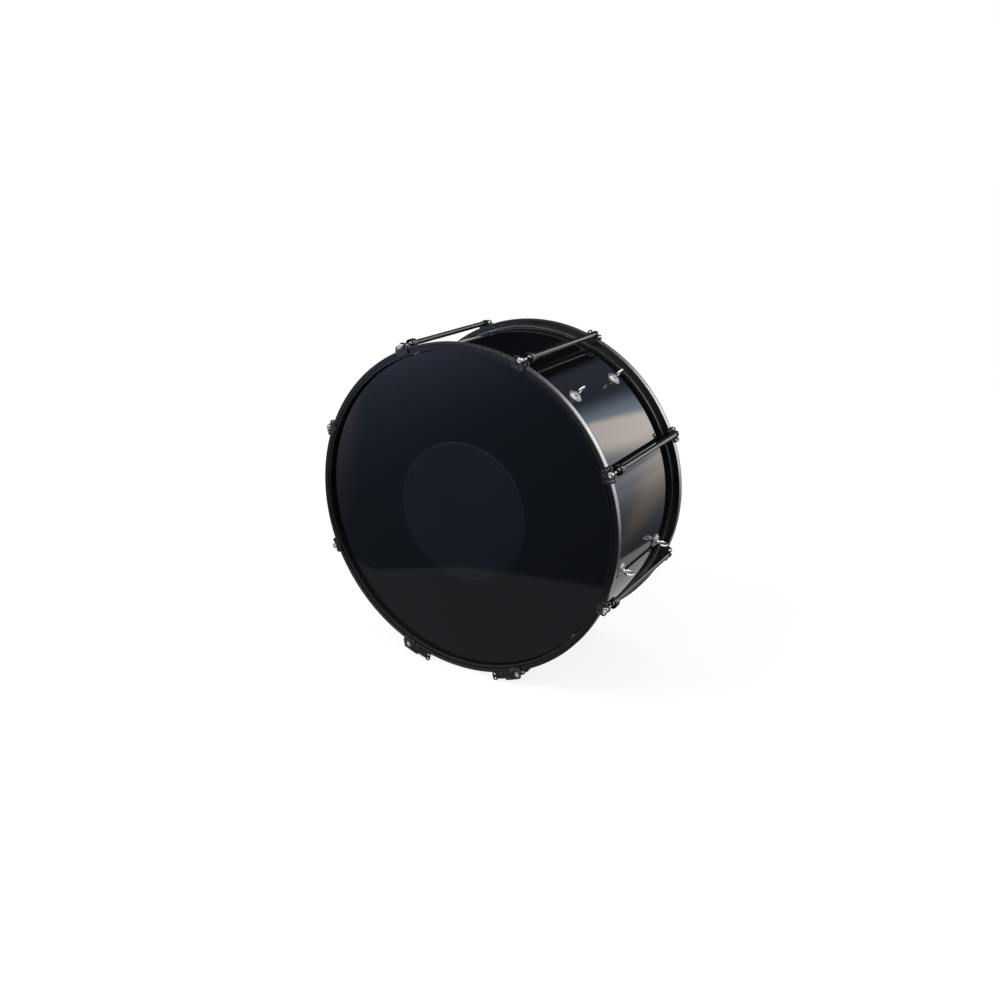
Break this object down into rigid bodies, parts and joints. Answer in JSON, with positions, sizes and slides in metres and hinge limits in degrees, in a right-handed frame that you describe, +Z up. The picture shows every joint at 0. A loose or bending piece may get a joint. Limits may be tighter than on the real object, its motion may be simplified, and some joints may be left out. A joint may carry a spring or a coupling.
{
  "type": "marching bass drum",
  "caption": "Upright marching bass drum: gloss black shell, two tensioned black heads, black counter hoops with claws, tension tubes with key screws, carrier eye screws and small feet.",
  "frame": {"origin": "on the floor, under the middle of the whole part", "axes": "+Z up, the drum's axis along Y with the front head towards -Y, +X towards the eye screws"},
  "size_m": [0.6888, 0.3336, 0.691],
  "materials": {
    "shell_lacquer": "high-gloss black lacquer",
    "head_film": "smooth black film, soft gloss",
    "patch_film": "smooth black film, satin",
    "black_alloy": "gloss black coated alloy",
    "plain_alloy": "plain, unpolished",
    "claw_black": "satin black coat",
    "tube_black": "gloss black coat",
    "bright_steel": "bright nickel plate"
  },
  "bodies": {
    "drum": {"anchor_screw_1": "bright_steel", "anchor_screw_2": "bright_steel", "anchor_screw_3": "bright_steel", "anchor_screw_4": "bright_steel", "anchor_screw_5": "bright_steel", "anchor_screw_6": "bright_steel", "anchor_screw_7": "bright_steel", "anchor_screw_8": "bright_steel", "eye_plate_lower": "plain_alloy", "eye_plate_upper": "plain_alloy", "front_claw_1": "claw_black", "front_claw_2": "claw_black", "front_claw_3": "claw_black", "front_claw_6": "claw_black", "front_claw_7": "claw_black", "front_claw_8": "claw_black", "front_flesh_hoop": "plain_alloy", "front_foot_claw_4": "claw_black", "front_foot_claw_5": "claw_black", "front_head": "head_film", "front_hoop": "black_alloy", "head_patch": "patch_film", "rear_claw_1": "claw_black", "rear_claw_2": "claw_black", "rear_claw_3": "claw_black", "rear_claw_6": "claw_black", "rear_claw_7": "claw_black", "rear_claw_8": "claw_black", "rear_flesh_hoop": "plain_alloy", "rear_foot_claw_4": "claw_black", "rear_foot_claw_5": "claw_black", "rear_head": "head_film", "rear_hoop": "black_alloy", "shell": "shell_lacquer", "tension_tube_1": "tube_black", "tension_tube_2": "tube_black", "tension_tube_3": "tube_black", "tension_tube_4": "tube_black", "tension_tube_5": "tube_black", "tension_tube_6": "tube_black", "tension_tube_7": "tube_black", "tension_tube_8": "tube_black", "vent_grommet": "bright_steel"},
    "key_1": {"key_screw_1": "bright_steel"},
    "key_2": {"key_screw_2": "bright_steel"},
    "key_3": {"key_screw_3": "bright_steel"},
    "key_4": {"key_screw_4": "bright_steel"},
    "key_5": {"key_screw_5": "bright_steel"},
    "key_6": {"key_screw_6": "bright_steel"},
    "key_7": {"key_screw_7": "bright_steel"},
    "key_8": {"key_screw_8": "bright_steel"},
    "rosette_upper_front": {"eye_rosette_upper_front": "bright_steel"},
    "eye_upper_front": {"eye_screw_upper_front": "bright_steel"},
    "rosette_upper_rear": {"eye_rosette_upper_rear": "bright_steel"},
    "eye_upper_rear": {"eye_screw_upper_rear": "bright_steel"},
    "rosette_lower_front": {"eye_rosette_lower_front": "bright_steel"},
    "eye_lower_front": {"eye_screw_lower_front": "bright_steel"},
    "rosette_lower_rear": {"eye_rosette_lower_rear": "bright_steel"},
    "eye_lower_rear": {"eye_screw_lower_rear": "bright_steel"}
  },
  "joints": [
    {"name": "key_turn_1", "type": "hinge", "parent": "drum", "child": "key_1", "pos_m": [0.13234, -0.1608, 0.67091], "axis": [0, -1, 0], "range_deg": [-180, 360]},
    {"name": "key_turn_2", "type": "hinge", "parent": "drum", "child": "key_2", "pos_m": [0.32149, -0.1608, 0.48176], "axis": [0, -1, 0], "range_deg": [-180, 360]},
    {"name": "key_turn_3", "type": "hinge", "parent": "drum", "child": "key_3", "pos_m": [0.32149, -0.1608, 0.21427], "axis": [0, -1, 0], "range_deg": [-180, 360]},
    {"name": "key_turn_4", "type": "hinge", "parent": "drum", "child": "key_4", "pos_m": [0.13234, -0.1608, 0.02512], "axis": [0, -1, 0], "range_deg": [-180, 360]},
    {"name": "key_turn_5", "type": "hinge", "parent": "drum", "child": "key_5", "pos_m": [-0.13516, -0.1608, 0.02512], "axis": [0, -1, 0], "range_deg": [-180, 360]},
    {"name": "key_turn_6", "type": "hinge", "parent": "drum", "child": "key_6", "pos_m": [-0.32431, -0.1608, 0.21427], "axis": [0, -1, 0], "range_deg": [-180, 360]},
    {"name": "key_turn_7", "type": "hinge", "parent": "drum", "child": "key_7", "pos_m": [-0.32431, -0.1608, 0.48176], "axis": [0, -1, 0], "range_deg": [-180, 360]},
    {"name": "key_turn_8", "type": "hinge", "parent": "drum", "child": "key_8", "pos_m": [-0.13516, -0.1608, 0.67091], "axis": [0, -1, 0], "range_deg": [-180, 360]},
    {"name": "rosette_lift_upper_front", "type": "slide", "parent": "drum", "child": "rosette_upper_front", "axis": [0.6441, 0, 0.7649], "range_m": [0, 0.00226]},
    {"name": "eye_turn_upper_front", "type": "hinge", "parent": "rosette_upper_front", "child": "eye_upper_front", "pos_m": [0.21321, -0.088, 0.60289], "axis": [0.6441, 0, 0.7649], "range_deg": [0, 810]},
    {"name": "rosette_lift_upper_rear", "type": "slide", "parent": "drum", "child": "rosette_upper_rear", "axis": [0.6441, 0, 0.7649], "range_m": [0, 0.00226]},
    {"name": "eye_turn_upper_rear", "type": "hinge", "parent": "rosette_upper_rear", "child": "eye_upper_rear", "pos_m": [0.21321, 0.088, 0.60289], "axis": [0.6441, 0, 0.7649], "range_deg": [0, 810]},
    {"name": "rosette_lift_lower_front", "type": "slide", "parent": "drum", "child": "rosette_lower_front", "axis": [0.9711, 0, -0.2385], "range_m": [0, 0.00226]},
    {"name": "eye_turn_lower_front", "type": "hinge", "parent": "rosette_lower_front", "child": "eye_lower_front", "pos_m": [0.32217, -0.088, 0.26854], "axis": [0.9711, 0, -0.2385], "range_deg": [0, 810]},
    {"name": "rosette_lift_lower_rear", "type": "slide", "parent": "drum", "child": "rosette_lower_rear", "axis": [0.9711, 0, -0.2385], "range_m": [0, 0.00226]},
    {"name": "eye_turn_lower_rear", "type": "hinge", "parent": "rosette_lower_rear", "child": "eye_lower_rear", "pos_m": [0.32217, 0.088, 0.26854], "axis": [0.9711, 0, -0.2385], "range_deg": [0, 810]}
  ],
  "couplings": [
    {"joint": "rosette_lift_upper_front", "follows": "eye_turn_upper_front", "m_per_rad": 0.00015915},
    {"joint": "rosette_lift_upper_rear", "follows": "eye_turn_upper_rear", "m_per_rad": 0.00015915},
    {"joint": "rosette_lift_lower_front", "follows": "eye_turn_lower_front", "m_per_rad": 0.00015915},
    {"joint": "rosette_lift_lower_rear", "follows": "eye_turn_lower_rear", "m_per_rad": 0.00015915}
  ]
}
